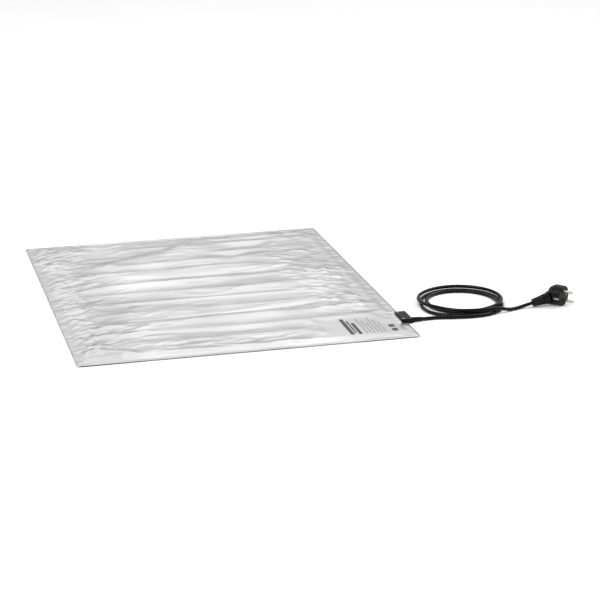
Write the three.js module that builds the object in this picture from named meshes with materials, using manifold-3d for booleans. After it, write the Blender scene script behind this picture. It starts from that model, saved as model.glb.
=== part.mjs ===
// Seedling heat mat: two sheets of metallised film with a heating wire laid
// between them, a junction block on one edge, a mains cord in a loose coil and
// an oblique earthed plug. Millimetres, +Z up. The origin is the middle of the
// mat, on the surface that it lies on; +X runs along the front edge to the
// junction block's side, +Y runs to the back.

import * as THREE from 'three';
import { mergeVertices } from 'three/addons/utils/BufferGeometryUtils.js';
import Module from 'manifold-3d';

const wasm = await Module();
wasm.setup();

// ---- driving dimensions -------------------------------------------------

const MAT_WIDTH = 600;
const MAT_DEPTH = 750;
const FILM = 0.3;
const GAP = 0.3;
const HEM = 11;

const WIRE_RADIUS = 1.2;
const WIRE_BORE = 0.7;
const CORE_RADIUS = 0.4;
const TAPE = 0.25;
const TAPE_WIDTH = 20;
const RUN_PITCH = 60;
const BEND_RADIUS = 26;

const RIDGE_HALF_TOP = 2.2;
const RIDGE_HALF_BASE = 7;

const BLOCK = { x0: 290, x1: 310, y0: -296, y1: -247, top: 9 };
const BLOCK_LIFT = 1.6;
const BLOCK_SEAM = 5.2;
const CHAMBER = { x0: 298, x1: 308, y0: -292.5, y1: -251.5, floor: 1.2, roof: 8 };
const WIRE_BAY = { x0: 292, y0: -283, y1: -255 };

const CORD_RADIUS = 3.25;
const CORD_SIDES = 10;
const INSULATION_RADIUS = 0.95;

const COIL = { x: 429, y: -205, inner: 61.6, outer: 78.6, height: 12.8 };

const PLUG_RADIUS = 18.5;
const PLUG_DEPTH = 28;
const PLUG_HEADING = THREE.MathUtils.degToRad(-51);
const PLUG_ROLL = THREE.MathUtils.degToRad(14);
const PLUG_FACE_CENTRE = new THREE.Vector3(605.4, -269.3, 18.7);
const HANDLE_ANGLE = THREE.MathUtils.degToRad(56);
const PIN_SPACING = 19;
const PIN_RADIUS = 2.4;
const PIN_LENGTH = 19;
const EARTH_OFFSET = 9.5;

// ---- levels of the sandwich, measured where nothing is lifted -------------

const WIRE_LEVEL = FILM + GAP + WIRE_RADIUS;
const WIRE_TOP = WIRE_LEVEL + WIRE_RADIUS;
const HEM_LEVEL = FILM + GAP;
const TAPE_VALLEY = FILM + GAP;
const TAPE_RIDGE = WIRE_TOP + GAP;
const TOP_VALLEY = TAPE_VALLEY + TAPE + 0.35;
const TOP_RIDGE = TAPE_RIDGE + TAPE + 0.35;
const BLOCK_TOP_LEVEL = 4.9;

// ---- materials ----------------------------------------------------------

function finish(color, roughness, metalness) {
  return new THREE.MeshStandardMaterial({ color, roughness, metalness });
}

const silverFilm = () => finish(0xd6d8da, 0.35, 0.85);
const blackPlastic = () => finish(0x141415, 0.45, 0);
const blackPvc = () => finish(0x101011, 0.4, 0);
const brightMetal = () => finish(0xd8d8d6, 0.25, 1);

// ---- helpers --------------------------------------------------------------

const mat = new THREE.Group();

function addPart(parent, name, geometry, material) {
  const mesh = new THREE.Mesh(geometry, material);
  mesh.name = name;
  parent.add(mesh);
  return mesh;
}

function toSolid(geometry) {
  const bare = geometry.clone();
  bare.deleteAttribute('normal');
  bare.deleteAttribute('uv');
  const merged = mergeVertices(bare, 1e-4);
  const vertProperties = new Float32Array(merged.attributes.position.array);
  const triVerts = new Uint32Array(merged.index.array);
  return new wasm.Manifold(new wasm.Mesh({ numProp: 3, vertProperties, triVerts }));
}

function toGeometry(solid) {
  const mesh = solid.getMesh();
  const geometry = new THREE.BufferGeometry();
  geometry.setAttribute('position', new THREE.BufferAttribute(mesh.vertProperties, 3));
  geometry.setIndex(new THREE.BufferAttribute(mesh.triVerts, 1));
  return geometry;
}

function cut(geometry, ...tools) {
  let solid = toSolid(geometry);
  for (const tool of tools) {
    solid = solid.subtract(toSolid(tool));
  }
  return toGeometry(solid);
}

function join(first, ...others) {
  let solid = toSolid(first);
  for (const other of others) {
    solid = solid.add(toSolid(other));
  }
  return toGeometry(solid);
}

function box(x0, x1, y0, y1, z0, z1) {
  const geometry = new THREE.BoxGeometry(x1 - x0, y1 - y0, z1 - z0);
  return geometry.translate((x0 + x1) / 2, (y0 + y1) / 2, (z0 + z1) / 2);
}

function rodZ(x, y, z0, z1, radius, sides = 12) {
  const geometry = new THREE.CylinderGeometry(radius, radius, z1 - z0, sides);
  geometry.rotateX(Math.PI / 2);
  return geometry.translate(x, y, (z0 + z1) / 2);
}

function rodX(x0, x1, y, z, radius, sides = 12) {
  const geometry = new THREE.CylinderGeometry(radius, radius, x1 - x0, sides);
  geometry.rotateZ(Math.PI / 2);
  return geometry.translate((x0 + x1) / 2, y, z);
}

// A turned piece: the profile's points are [radius, height] and the axis is +Z.
function turned(profile, sides = 16) {
  const points = profile.map(([radius, height]) => new THREE.Vector2(radius, height));
  return new THREE.LatheGeometry(points, sides).rotateX(Math.PI / 2);
}

function ring(radius, sides) {
  const shape = new THREE.Shape();
  for (let i = 0; i < sides; i += 1) {
    const angle = (i / sides) * 2 * Math.PI;
    const x = radius * Math.cos(angle);
    const y = radius * Math.sin(angle);
    if (i === 0) shape.moveTo(x, y);
    else shape.lineTo(x, y);
  }
  shape.closePath();
  return shape;
}

// A path that is sampled at its own corners and nowhere else.
class CornerPath extends THREE.Curve {
  constructor(points) {
    super();
    this.points = points;
    this.last = points.length - 1;
  }

  getPoint(t, target = new THREE.Vector3()) {
    const place = t * this.last;
    const i = Math.min(Math.floor(place), this.last - 1);
    return target.lerpVectors(this.points[i], this.points[i + 1], place - i);
  }

  getPointAt(u, target) {
    return this.getPoint(u, target);
  }

  getTangentAt(u, target = new THREE.Vector3()) {
    const i = Math.round(u * this.last);
    const here = this.points[i];
    const before = this.points[Math.max(i - 1, 0)];
    const after = this.points[Math.min(i + 1, this.last)];
    const arriving = here.clone().sub(before).normalize();
    const leaving = after.clone().sub(here).normalize();
    return target.copy(arriving).add(leaving).normalize();
  }
}

function sweepCorners(shape, points) {
  const extrudePath = new CornerPath(points);
  return new THREE.ExtrudeGeometry(shape, { steps: points.length - 1, extrudePath });
}

function sweepSmooth(shape, points, steps) {
  const extrudePath = new THREE.CatmullRomCurve3(points, false, 'centripetal');
  return new THREE.ExtrudeGeometry(shape, { steps, extrudePath });
}

const toVectors = (list) => list.map(([x, y, z]) => new THREE.Vector3(x, y, z));

// ---- the heating wire's route -----------------------------------------------

// Three short runs clear the printed field at the front right corner, and nine
// full runs fill the rest. Every entry is a square corner that gets rounded.
const FIELD_EDGE = 130;
const LEFT_TURN = -281;
const RIGHT_TURN = 250;
const RETURN_X = 276;
const FIRST_FULL_RUN = -172;
const FULL_RUNS = 9;
const FRONT_RUNS = [-342, -288, -232];
const SUPPLY_Y = -270;
const RETURN_Y = -257;

const fullRuns = Array.from({ length: FULL_RUNS }, (_, i) => FIRST_FULL_RUN + i * RUN_PITCH);
const lastRun = fullRuns[FULL_RUNS - 1];

function wireCorners() {
  const [front, middle, back] = FRONT_RUNS;
  const corners = [[258, SUPPLY_Y], [258, back], [-263, back], [-263, middle]];
  corners.push([FIELD_EDGE, middle], [FIELD_EDGE, front], [LEFT_TURN, front]);
  fullRuns.forEach((y, i) => {
    const goesRight = i % 2 === 0;
    const start = goesRight ? LEFT_TURN : RIGHT_TURN;
    const end = goesRight ? RIGHT_TURN : LEFT_TURN;
    corners.push([start, y]);
    corners.push([i === FULL_RUNS - 1 ? RETURN_X : end, y]);
  });
  corners.push([RETURN_X, RETURN_Y]);
  return corners.map(([x, y]) => new THREE.Vector3(x, y, WIRE_LEVEL));
}

function roundCorners(corners, start, end) {
  const points = [...start];
  corners.forEach((corner, i) => {
    const before = i === 0 ? start[start.length - 1] : corners[i - 1];
    const after = i === corners.length - 1 ? end[0] : corners[i + 1];
    const reach = Math.min(BEND_RADIUS, before.distanceTo(corner) / 2, after.distanceTo(corner) / 2);
    const into = before.clone().sub(corner).setLength(reach).add(corner);
    const out = after.clone().sub(corner).setLength(reach).add(corner);
    const sagitta = reach * (1 - Math.SQRT1_2);
    const middle = into.clone().add(out).multiplyScalar(0.5);
    middle.sub(corner).setLength(sagitta * Math.SQRT2).add(corner);
    points.push(into, middle, out);
  });
  points.push(...end);
  return points;
}

// Inside the block both ends turn along the block towards their splices.
const SUPPLY_SPLICE = new THREE.Vector3(299.8, -274.5, WIRE_LEVEL + BLOCK_LIFT);
const RETURN_SPLICE = new THREE.Vector3(304, -274.5, WIRE_LEVEL + BLOCK_LIFT);

function wireEnd(y, splice) {
  const inside = splice.z;
  return [
    new THREE.Vector3(279.5, y, WIRE_LEVEL),
    new THREE.Vector3(288.5, y, inside),
    new THREE.Vector3(splice.x - 3, y, inside),
    new THREE.Vector3(splice.x - 0.9, y - 0.9, inside),
    new THREE.Vector3(splice.x, y - 3, inside),
    new THREE.Vector3(splice.x, splice.y + 6.3, inside),
  ];
}

function supplyEnd() {
  const inside = SUPPLY_SPLICE.z;
  return [
    new THREE.Vector3(SUPPLY_SPLICE.x - 2.2, SUPPLY_Y, inside),
    new THREE.Vector3(288.5, SUPPLY_Y, inside),
    new THREE.Vector3(279.5, SUPPLY_Y, WIRE_LEVEL),
  ];
}

const heatingRoute = roundCorners(
  wireCorners(),
  supplyEnd(),
  wireEnd(RETURN_Y, RETURN_SPLICE),
);

function heatingWire() {
  const jacket = ring(WIRE_RADIUS, 6);
  jacket.holes.push(ring(WIRE_BORE, 4));
  addPart(mat, 'heating_wire_jacket', sweepCorners(jacket, heatingRoute), finish(0xb9382c, 0.6, 0));
  const core = ring(CORE_RADIUS, 4);
  addPart(mat, 'heating_wire_core', sweepCorners(core, heatingRoute), finish(0xa8a29a, 0.4, 1));
}

// ---- films -------------------------------------------------------------------

// A sheet on a rectangular grid: lines across at xs, lines along at ys.
function sheet(xs, ys, levelAt, thickness) {
  const across = xs.length - 1;
  const along = ys.length - 1;
  const geometry = new THREE.BoxGeometry(1, 1, 1, across, along, 1);
  const places = geometry.attributes.position;
  for (let i = 0; i < places.count; i += 1) {
    const x = xs[Math.round((places.getX(i) + 0.5) * across)];
    const y = ys[Math.round((places.getY(i) + 0.5) * along)];
    const top = places.getZ(i) > 0;
    places.setXYZ(i, x, y, levelAt(x, y) + (top ? thickness : 0));
  }
  return geometry;
}

const allRuns = [...FRONT_RUNS, ...fullRuns];
const LEFT_BAND = [-284, -236, -230];
const SHORT_BAND = [96, 102, 132, 138];
const RIGHT_BAND = [218, 224];
const LIFT_X = [280, 288];
const LIFT_Y = [-306, -299, -246, -240];

const liftedHere = (x, y) => x >= LIFT_X[1] && y >= LIFT_Y[1] && y <= LIFT_Y[2];

function topLevel(x, y) {
  if (liftedHere(x, y)) return BLOCK_TOP_LEVEL;
  const hemmed = Math.abs(x) > MAT_WIDTH / 2 - HEM - 1 || Math.abs(y) > MAT_DEPTH / 2 - HEM - 1;
  if (hemmed) return HEM_LEVEL;
  const backEnd = lastRun + RIDGE_HALF_TOP;
  const frontEnd = FRONT_RUNS[0] - RIDGE_HALF_TOP;
  const shortEnd = FRONT_RUNS[1] + RIDGE_HALF_TOP;
  const onLeftTurns = x <= LEFT_BAND[1] && x >= LEFT_BAND[0] && y >= frontEnd && y <= backEnd;
  const onRightTurns = x >= RIGHT_BAND[1] && x <= LIFT_X[0] && y >= LIFT_Y[1] && y <= backEnd;
  const onShortTurn = x >= SHORT_BAND[1] && x <= SHORT_BAND[2] && y >= frontEnd && y <= shortEnd;
  const onRun = allRuns.some((run) => Math.abs(y - run) < RIDGE_HALF_TOP + 0.1);
  const runsHere = Math.abs(x) < 285 && (y > shortEnd || x <= SHORT_BAND[2]);
  const raised = onLeftTurns || onRightTurns || onShortTurn || (onRun && runsHere);
  return raised ? TOP_RIDGE : TOP_VALLEY;
}

const bottomLevel = (x, y) => (liftedHere(x, y) ? BLOCK_LIFT : 0);

function filmCuts() {
  const right = MAT_WIDTH / 2 + 1;
  const rivets = RIVETS.map(([x, y]) => rodZ(x, y, -1, BLOCK.top, 1.7));
  return [
    box(CHAMBER.x0 - 0.4, right, CHAMBER.y0 - 0.6, CHAMBER.y1 + 0.6, -1, BLOCK.top),
    box(WIRE_BAY.x0 - 0.4, right, WIRE_BAY.y0 - 0.6, WIRE_BAY.y1 + 0.6, -1, BLOCK.top),
    ...rivets,
  ];
}

function films() {
  const halfWidth = MAT_WIDTH / 2;
  const halfDepth = MAT_DEPTH / 2;
  const hemX = halfWidth - HEM;
  const xs = [-halfWidth, -hemX, ...LEFT_BAND, ...SHORT_BAND, ...RIGHT_BAND, ...LIFT_X, halfWidth];
  const ridgeLines = allRuns.flatMap((y) => [
    y - RIDGE_HALF_BASE,
    y - RIDGE_HALF_TOP,
    y + RIDGE_HALF_TOP,
    y + RIDGE_HALF_BASE,
  ]);
  const ys = [-halfDepth, -halfDepth + HEM, ...ridgeLines, halfDepth - HEM, halfDepth, ...LIFT_Y];
  ys.sort((a, b) => a - b);
  const top = cut(sheet(xs, ys, topLevel, FILM), ...filmCuts());
  addPart(mat, 'top_film', top, silverFilm());
  const plainX = [-halfWidth, ...LIFT_X, halfWidth];
  const plainY = [-halfDepth, ...LIFT_Y, halfDepth];
  const bottom = cut(sheet(plainX, plainY, bottomLevel, FILM), ...filmCuts());
  addPart(mat, 'bottom_film', bottom, silverFilm());
}

// A strip of tape drapes over each run that it crosses.
function tapeStrip(name, x, runs) {
  const under = [];
  for (const run of runs) {
    under.push([run - RIDGE_HALF_BASE, TAPE_VALLEY], [run - RIDGE_HALF_TOP, TAPE_RIDGE]);
    under.push([run + RIDGE_HALF_TOP, TAPE_RIDGE], [run + RIDGE_HALF_BASE, TAPE_VALLEY]);
  }
  under.unshift([runs[0] - 15, TAPE_VALLEY]);
  under.push([runs[runs.length - 1] + 15, TAPE_VALLEY]);
  const over = under.map(([y, z]) => [y, z + TAPE]).reverse();
  const outline = new THREE.Shape([...under, ...over].map(([y, z]) => new THREE.Vector2(y, z)));
  const strip = new THREE.ExtrudeGeometry(outline, { depth: TAPE_WIDTH, bevelEnabled: false });
  strip.rotateX(Math.PI / 2);
  strip.rotateZ(Math.PI / 2);
  strip.translate(x - TAPE_WIDTH / 2, 0, 0);
  addPart(mat, name, strip, finish(0xc9c4b4, 0.7, 0));
}

// ---- junction block ------------------------------------------------------------

const RIVETS = [[294.3, -289.3], [294.3, -251.3]];
const CORD_EXIT = new THREE.Vector3(305.5, -288, 4.6);

function chamberTools(z0, z1) {
  const { x0, x1, y0, y1 } = CHAMBER;
  return [
    box(x0, x1, y0, y1, z0, z1),
    box(WIRE_BAY.x0, x1, WIRE_BAY.y0, WIRE_BAY.y1, z0, z1),
    rodX(CORD_EXIT.x - 1.5, BLOCK.x1 + 1, CORD_EXIT.y, CORD_EXIT.z, CORD_RADIUS + GAP),
  ];
}

function junctionBlock() {
  const { x0, x1, y0, y1, top } = BLOCK;
  const edge = MAT_WIDTH / 2 + 0.6;
  const rivetHoles = RIVETS.map(([x, y]) => rodZ(x, y, -1, top + 1, 1.7));
  const footHoles = RIVETS.map(([x, y]) => rodZ(x, y, -1, 0.8, 2.8));
  const headHoles = RIVETS.map(([x, y]) => rodZ(x, y, 8.2, top + 1, 2.8));
  const [lugX, lugY] = RIVETS[0];

  const floor = box(x0, x1, y0, y1, 0, BLOCK_LIFT - GAP);
  const upstand = box(edge, x1, y0, y1, 0.5, BLOCK_SEAM);
  const baseTools = [...chamberTools(CHAMBER.floor, top), ...rivetHoles, ...footHoles];
  addPart(mat, 'junction_base', cut(join(floor, upstand), ...baseTools), blackPlastic());

  const lid = box(x0, x1, y0, y1, BLOCK_SEAM + GAP, top);
  const lugPocket = box(lugX - 3, CHAMBER.x0 + 1, lugY - 2.8, lugY + 2.8, 0, 6.5);
  const coverTools = [...chamberTools(0, CHAMBER.roof), lugPocket, ...rivetHoles, ...headHoles];
  addPart(mat, 'junction_cover', cut(lid, ...coverTools), blackPlastic());

  const rivet = [[0, 0.1], [2.4, 0.1], [2.4, 0.5], [1.4, 0.5], [1.4, 8.5], [2.5, 8.5], [2.5, 8.9], [0, 8.9]];
  ['junction_rivet_front', 'junction_rivet_back'].forEach((name, i) => {
    const [x, y] = RIVETS[i];
    addPart(mat, name, turned(rivet, 12).translate(x, y, 0), brightMetal());
  });

  const lug = box(lugX - 2.6, CHAMBER.x0 + 0.7, lugY - 2.4, lugY + 2.4, BLOCK_SEAM + GAP, 6.1);
  addPart(mat, 'earth_lug', cut(lug, rodZ(lugX, lugY, 0, top, 1.7)), brightMetal());
}

function spliceAndSleeve(label, centre) {
  const along = (geometry) => geometry.rotateX(Math.PI / 2).translate(centre.x, centre.y, centre.z);
  const crimp = turned([[0, -6], [1.25, -6], [1.25, 6], [0, 6]], 8);
  addPart(mat, `crimp_splice_${label}`, along(crimp), brightMetal());
  const sleeve = turned([[1.55, -6], [1.9, -6], [1.9, 6], [1.55, 6], [1.55, -6]], 8);
  addPart(mat, `splice_sleeve_${label}`, along(sleeve), blackPlastic());
}

function cordCores() {
  const bare = CORD_EXIT.x - GAP;
  const low = SUPPLY_SPLICE.z;
  const supplyStart = SUPPLY_SPLICE.y - 6.3;
  const routes = {
    core_live: [
      [bare, -288.1, 4.4], [303.2, -288.1, 4.2], [300.9, -287.3, 3.8], [299.8, -285, low],
      [299.8, supplyStart, low],
    ],
    core_neutral: [
      [bare - 0.1, -285.9, 4.4], [304.4, -285.8, 4.3], [304.05, -284.9, 4], [304, -283.4, low],
      [304, supplyStart, low],
    ],
    core_earth: [[bare, -290, 5.2], [303, -289.9, 5.5], [CHAMBER.x0 + 1, -289.5, 5.9]],
  };
  const colors = { core_live: 0x6b3d1f, core_neutral: 0x2450a8, core_earth: 0x9db52a };
  for (const [name, route] of Object.entries(routes)) {
    const wire = sweepCorners(ring(INSULATION_RADIUS, 6), toVectors(route));
    addPart(mat, name, wire, finish(colors[name], 0.5, 0));
  }
}

// ---- mains cord ------------------------------------------------------------------

const SLEEVE_START = new THREE.Vector3(310.4, -288, 4.6);
const SLEEVE_END = new THREE.Vector3(329, -286.6, 4.1);

const LEAD_ROUTE = [
  [305.5, -288, 4.6], [311, -288, 4.6], [320, -287.3, 4.35], [329, -286.6, 4.1],
  [343, -285.2, 3.5], [358, -285.4, 3.3], [374, -288, 3.3], [390, -291.5, 3.3],
  [406, -294.2, 3.3], [423, -295.4, 3.3], [440, -294.6, 3.3], [452, -291.8, 3.3],
  [461.6, -287.3, 3.3], [471.8, -280.5, 3.3], [478.6, -274, 3.3],
];

const TAIL_ROUTE = [
  [467, -283.2, 10.4], [474, -283, 10.2], [481, -281.6, 8.9], [489, -279.2, 6.4],
  [498, -276, 4.3], [508, -272.3, 3.4], [518, -268.6, 3.5], [528, -265.8, 4.6],
  [538.7, -264.3, 6.55], [546.2, -263.75, 8.1],
];

function straightSleeve(start, end, profile) {
  const axis = end.clone().sub(start);
  const geometry = turned(profile(axis.length()), 12);
  const turn = new THREE.Quaternion();
  turn.setFromUnitVectors(new THREE.Vector3(0, 0, 1), axis.clone().normalize());
  return geometry.applyQuaternion(turn).translate(start.x, start.y, start.z);
}

function cord() {
  const bore = CORD_RADIUS + GAP;
  const sleeve = (length) => [[bore, 0], [4.5, 0], [4.05, length], [bore, length], [bore, 0]];
  const relief = straightSleeve(SLEEVE_START, SLEEVE_END, sleeve);
  addPart(mat, 'junction_strain_relief', relief, blackPvc());

  const section = ring(CORD_RADIUS, CORD_SIDES);
  addPart(mat, 'cord_lead', sweepSmooth(section, toVectors(LEAD_ROUTE), 18), blackPvc());
  addPart(mat, 'cord_tail', sweepSmooth(section, toVectors(TAIL_ROUTE), 9), blackPvc());

  const { inner, outer, height } = COIL;
  const profile = [
    [inner, 2], [inner + 2, 0], [outer - 2, 0], [outer, 2], [outer, 10],
    [outer - 3, height], [inner + 5, height], [inner, 5], [inner, 2],
  ];
  addPart(mat, 'cord_coil', turned(profile, 32).translate(COIL.x, COIL.y, 0), blackPvc());
}

// ---- plug ----------------------------------------------------------------------------

// In the plug's own frame the face lies at z = 0, the pins point along +Z and sit
// one above the other along X, and the handle leans towards +Y.
const plug = new THREE.Group();
mat.add(plug);

function placePlug() {
  const up = new THREE.Vector3(0, 0, 1);
  const pins = new THREE.Vector3(Math.cos(PLUG_HEADING), Math.sin(PLUG_HEADING), 0);
  const side = pins.clone().cross(up);
  const frame = new THREE.Matrix4().makeBasis(up, side, pins);
  plug.quaternion.setFromRotationMatrix(frame);
  plug.quaternion.multiply(new THREE.Quaternion().setFromAxisAngle(up, PLUG_ROLL));
  plug.position.copy(PLUG_FACE_CENTRE);
}

// The handle starts inside the body and leans away from the pins' axis.
const HANDLE_ROOT = -12;
const HANDLE_END = 31;
const RELIEF_END = 52;

function handlePiece(sections) {
  const solids = [];
  for (let i = 0; i + 1 < sections.length; i += 1) {
    const [from, wide, tall] = sections[i];
    const [to, wideEnd, tallEnd] = sections[i + 1];
    const piece = new THREE.BoxGeometry(1, 1, 1);
    const places = piece.attributes.position;
    for (let k = 0; k < places.count; k += 1) {
      const far = places.getZ(k) > 0;
      const x = places.getX(k) * (far ? tallEnd : tall);
      const y = places.getY(k) * (far ? wideEnd : wide);
      places.setXYZ(k, x, y, far ? to : from);
    }
    solids.push(piece);
  }
  const whole = solids.length > 1 ? join(...solids) : solids[0];
  whole.rotateX(Math.PI + HANDLE_ANGLE);
  return whole.translate(0, 0, HANDLE_ROOT);
}

function plugBody() {
  const rim = PLUG_RADIUS;
  const profile = [
    [0, -PLUG_DEPTH], [rim - 6, -PLUG_DEPTH], [rim - 1.5, -PLUG_DEPTH + 8],
    [rim, -PLUG_DEPTH + 10], [rim, -1.2], [rim - 1.2, 0], [0, 0],
  ];
  const round = turned(profile, 28);
  const handle = handlePiece([[0, 14, 24], [18, 17.5, 24], [HANDLE_END, 14, 18.5]]);
  const flat = rim - 1.6;
  const groove = flat - 2.2;
  const pinHoles = [-1, 1].map((s) => rodZ((s * PIN_SPACING) / 2, 0, -16, 1, PIN_RADIUS + GAP));
  const tools = [
    rodZ(0, 0, -2.5, 1, 15.2, 20),
    rodZ(0, -EARTH_OFFSET, -18, 1, 3.7),
    box(-rim, rim, flat, rim + 1, -20, 1),
    box(-rim, rim, -rim - 1, -flat, -20, 1),
    box(-3.3, 3.3, groove, rim + 1, -20, 1),
    box(-3.3, 3.3, -rim - 1, -groove, -20, 1),
    ...pinHoles,
  ];
  addPart(plug, 'plug_body', cut(join(round, handle), ...tools), blackPlastic());
  const relief = handlePiece([[HANDLE_END + GAP, 14, 18], [RELIEF_END, 12, 14]]);
  addPart(plug, 'plug_strain_relief', relief, blackPvc());
}

function plugContacts() {
  const face = cut(
    rodZ(0, 0, -2.2, 0, 14.8, 20),
    rodZ(PIN_SPACING / 2, 0, -4, 1, PIN_RADIUS + GAP),
    rodZ(-PIN_SPACING / 2, 0, -4, 1, PIN_RADIUS + GAP),
    rodZ(0, -EARTH_OFFSET, -4, 1, 3.7),
  );
  addPart(plug, 'plug_face', face, finish(0x3a3a3c, 0.5, 0));

  const pin = [
    [0, -15.5], [PIN_RADIUS, -15.5], [PIN_RADIUS, PIN_LENGTH - 1.6],
    [PIN_RADIUS - 1.2, PIN_LENGTH - 0.2], [0, PIN_LENGTH],
  ];
  ['live_pin', 'neutral_pin'].forEach((name, i) => {
    const x = (i === 0 ? 1 : -1) * (PIN_SPACING / 2);
    addPart(plug, name, turned(pin, 12).translate(x, 0, 0), brightMetal());
  });

  const socket = [[2.55, -17], [3.4, -17], [3.4, 0.2], [2.55, 0.2], [2.55, -17]];
  const sleeve = turned(socket, 16).translate(0, -EARTH_OFFSET, 0);
  addPart(plug, 'earth_socket', sleeve, brightMetal());

  const flat = PLUG_RADIUS - 1.6;
  const strap = (side) => {
    const centre = side * (flat - 0.5);
    return box(-2.7, 2.7, centre - 0.4, centre + 0.4, -19.5, -0.8);
  };
  addPart(plug, 'earth_clip_near', strap(1), brightMetal());
  addPart(plug, 'earth_clip_far', strap(-1), brightMetal());
}

// ---- the whole mat ---------------------------------------------------------------------

films();
heatingWire();
tapeStrip('wire_tape_left', -205, allRuns);
tapeStrip('wire_tape_middle', 0, allRuns);
tapeStrip('wire_tape_right', 185, allRuns.slice(2));
junctionBlock();
spliceAndSleeve('live', SUPPLY_SPLICE);
spliceAndSleeve('neutral', RETURN_SPLICE);
cordCores();
cord();
placePlug();
plugBody();
plugContacts();

export default mat;
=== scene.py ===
# %% [markdown]
# # A seedling heat mat
#
# The mat is two sheets of metallised film, welded round their edges, with a
# heating wire laid back and forth between them. A small block on one edge
# joins the wire to a mains cord. The model gives every size and place,
# and this script gives the skin: creased film, round cord, moulded plug.

# %% Load the model
import math

import bmesh
import bpy
import numpy as np
from mathutils import Matrix, Vector


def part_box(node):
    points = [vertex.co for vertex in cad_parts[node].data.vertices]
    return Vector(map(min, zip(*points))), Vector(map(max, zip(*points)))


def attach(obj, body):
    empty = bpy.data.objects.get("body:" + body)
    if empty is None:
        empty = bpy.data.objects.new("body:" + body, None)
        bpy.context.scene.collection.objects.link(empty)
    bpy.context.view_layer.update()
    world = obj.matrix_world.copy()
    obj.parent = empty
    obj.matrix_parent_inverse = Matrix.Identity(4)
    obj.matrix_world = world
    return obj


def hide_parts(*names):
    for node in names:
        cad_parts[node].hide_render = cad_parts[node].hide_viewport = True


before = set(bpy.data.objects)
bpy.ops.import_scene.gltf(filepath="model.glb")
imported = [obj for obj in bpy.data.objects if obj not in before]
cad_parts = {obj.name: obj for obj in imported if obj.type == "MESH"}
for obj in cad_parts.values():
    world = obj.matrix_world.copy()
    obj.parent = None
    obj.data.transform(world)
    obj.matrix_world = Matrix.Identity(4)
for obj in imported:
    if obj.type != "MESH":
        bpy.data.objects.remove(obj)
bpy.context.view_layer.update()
MM = 0.001
print("nodes in the frame:", len(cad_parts))

# %% [markdown]
# ## The camera
#
# A wide lens close by would spread the near edge and shrink the far one. A long
# lens far away keeps the mat's sides nearly parallel, so it was chosen. The
# camera aims at a point on the floor, from a heading, a height angle and a
# distance, and it leans by half a degree.

# %% Camera
AIM = Vector((0.151, -0.105, 0.0))
HEADING = math.radians(-13.94)
HEIGHT_ANGLE = math.radians(17.22)
LEAN = math.radians(-0.56)
DISTANCE = 3.629
LENS = 117.8

outward = Vector((
    math.sin(HEADING) * math.cos(HEIGHT_ANGLE),
    -math.cos(HEADING) * math.cos(HEIGHT_ANGLE),
    math.sin(HEIGHT_ANGLE),
))
camera = bpy.data.objects.new("camera", bpy.data.cameras.new("camera"))
bpy.context.collection.objects.link(camera)
camera.data.lens = LENS
camera.data.sensor_width = 36.0
camera.data.clip_end = 50.0
aim_turn = (-outward).to_track_quat("-Z", "Y").to_matrix().to_4x4()
camera.matrix_world = (
    Matrix.Translation(AIM + outward * DISTANCE) @ aim_turn @ Matrix.Rotation(LEAN, 4, "Z")
)
bpy.context.scene.camera = camera
print("camera at", [round(v, 3) for v in camera.location])

# %% [markdown]
# ## The mains cord
#
# The cord is a three-core PVC flex, 6.5 mm thick. It leaves the block straight,
# lies down on the bench, winds into three loose turns and ends in the plug. The
# lead and the tail are routed through listed points, because nothing winds them.

# %% Lead and tail of the cord
CORD_DIAMETER = 6.5 * MM
COIL_CENTRE = (429.0, -205.0)

LEAD_ROUTE = [
    (305.5, -288.0, 4.6), (311.0, -288.0, 4.6), (320.0, -287.3, 4.35), (329.0, -286.6, 4.1),
    (343.0, -285.2, 3.5), (358.0, -285.4, 3.3), (374.0, -288.0, 3.3), (390.0, -291.5, 3.3),
    (406.0, -294.2, 3.3), (423.0, -295.4, 3.3), (440.0, -294.6, 3.3),
]

TAIL_ROUTE = [
    (440.0, -283.4, 10.1), (455.0, -284.2, 10.4),
    (467.0, -283.2, 10.4), (474.0, -283.0, 10.2), (481.0, -281.6, 8.9), (489.0, -279.2, 6.4),
    (498.0, -276.0, 4.3), (508.0, -272.3, 3.4), (518.0, -268.6, 3.5), (528.0, -265.8, 4.6),
    (538.7, -264.3, 6.55), (546.2, -263.75, 8.1),
]
print("lead points:", len(LEAD_ROUTE), "tail points:", len(TAIL_ROUTE))

# %% [markdown]
# ## The coil
#
# A circle repeated three times would look machined. The real turns are wound by
# hand, so the angle round the coil drives everything: the radius steps in and
# out between turns, bulges where a turn slips, and the third turn climbs on top
# of the two that lie on the bench.

# %% Coil by its angle
START_RADIUS = 88.0
FIRST_ANGLE, LAST_ANGLE = -70, 985
POINTS_PER_TURN = 20
ON_BENCH, ON_TOP = 3.3, 9.7
OVAL = 1.02
# Bulge: angle at its middle, half-width in degrees, and how far out in mm.
COIL_BULGES = [(222, 34, 15.0), (545, 45, -4.5), (900, 40, 3.5), (935, 30, -6.0)]
# Step: angle from, angle to, and how far out in mm.
COIL_STEPS = [(-80, 0, -16.0), (300, 370, -7.0), (610, 690, 9.5)]


def ease(low, high, value):
    """0 below low, 1 above high and a smooth step between them."""
    t = np.clip((value - low) / (high - low), 0.0, 1.0)
    return t * t * (3.0 - 2.0 * t)


def bell(distance, width):
    """1 where the distance is 0, and almost 0 two widths away."""
    return np.exp(-((distance / width) ** 2))


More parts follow.
